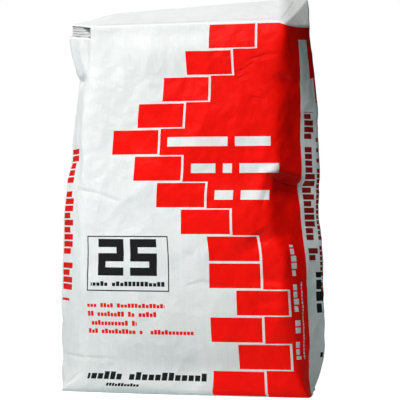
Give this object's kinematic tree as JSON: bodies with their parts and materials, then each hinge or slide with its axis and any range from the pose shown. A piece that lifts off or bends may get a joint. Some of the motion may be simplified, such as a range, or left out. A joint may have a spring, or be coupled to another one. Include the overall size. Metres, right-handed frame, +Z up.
{
  "type": "cement bag",
  "caption": "Filled block-end paper valve sack of cement standing on its bottom end, with a leaning top end panel and a corner valve.",
  "frame": {"origin": "middle of the base, on the surface that the bag stands on", "axes": "+Z up along the bag's height, the printed front faces -Y, +X to the right of the front, the valve is at the top left"},
  "size_m": [0.359, 0.134, 0.5169],
  "materials": {
    "sack_paper": "matt bleached sack paper with flat print",
    "patch_paper": "matt bleached paper",
    "valve_paper": "matt dusty paper",
    "cement": "packed powder"
  },
  "bodies": {
    "root": {"paper_sack": "sack_paper", "cement_fill": "cement", "valve_sleeve": "valve_paper", "top_end_patch": "patch_paper", "bottom_end_patch": "patch_paper"}
  },
  "joints": []
}
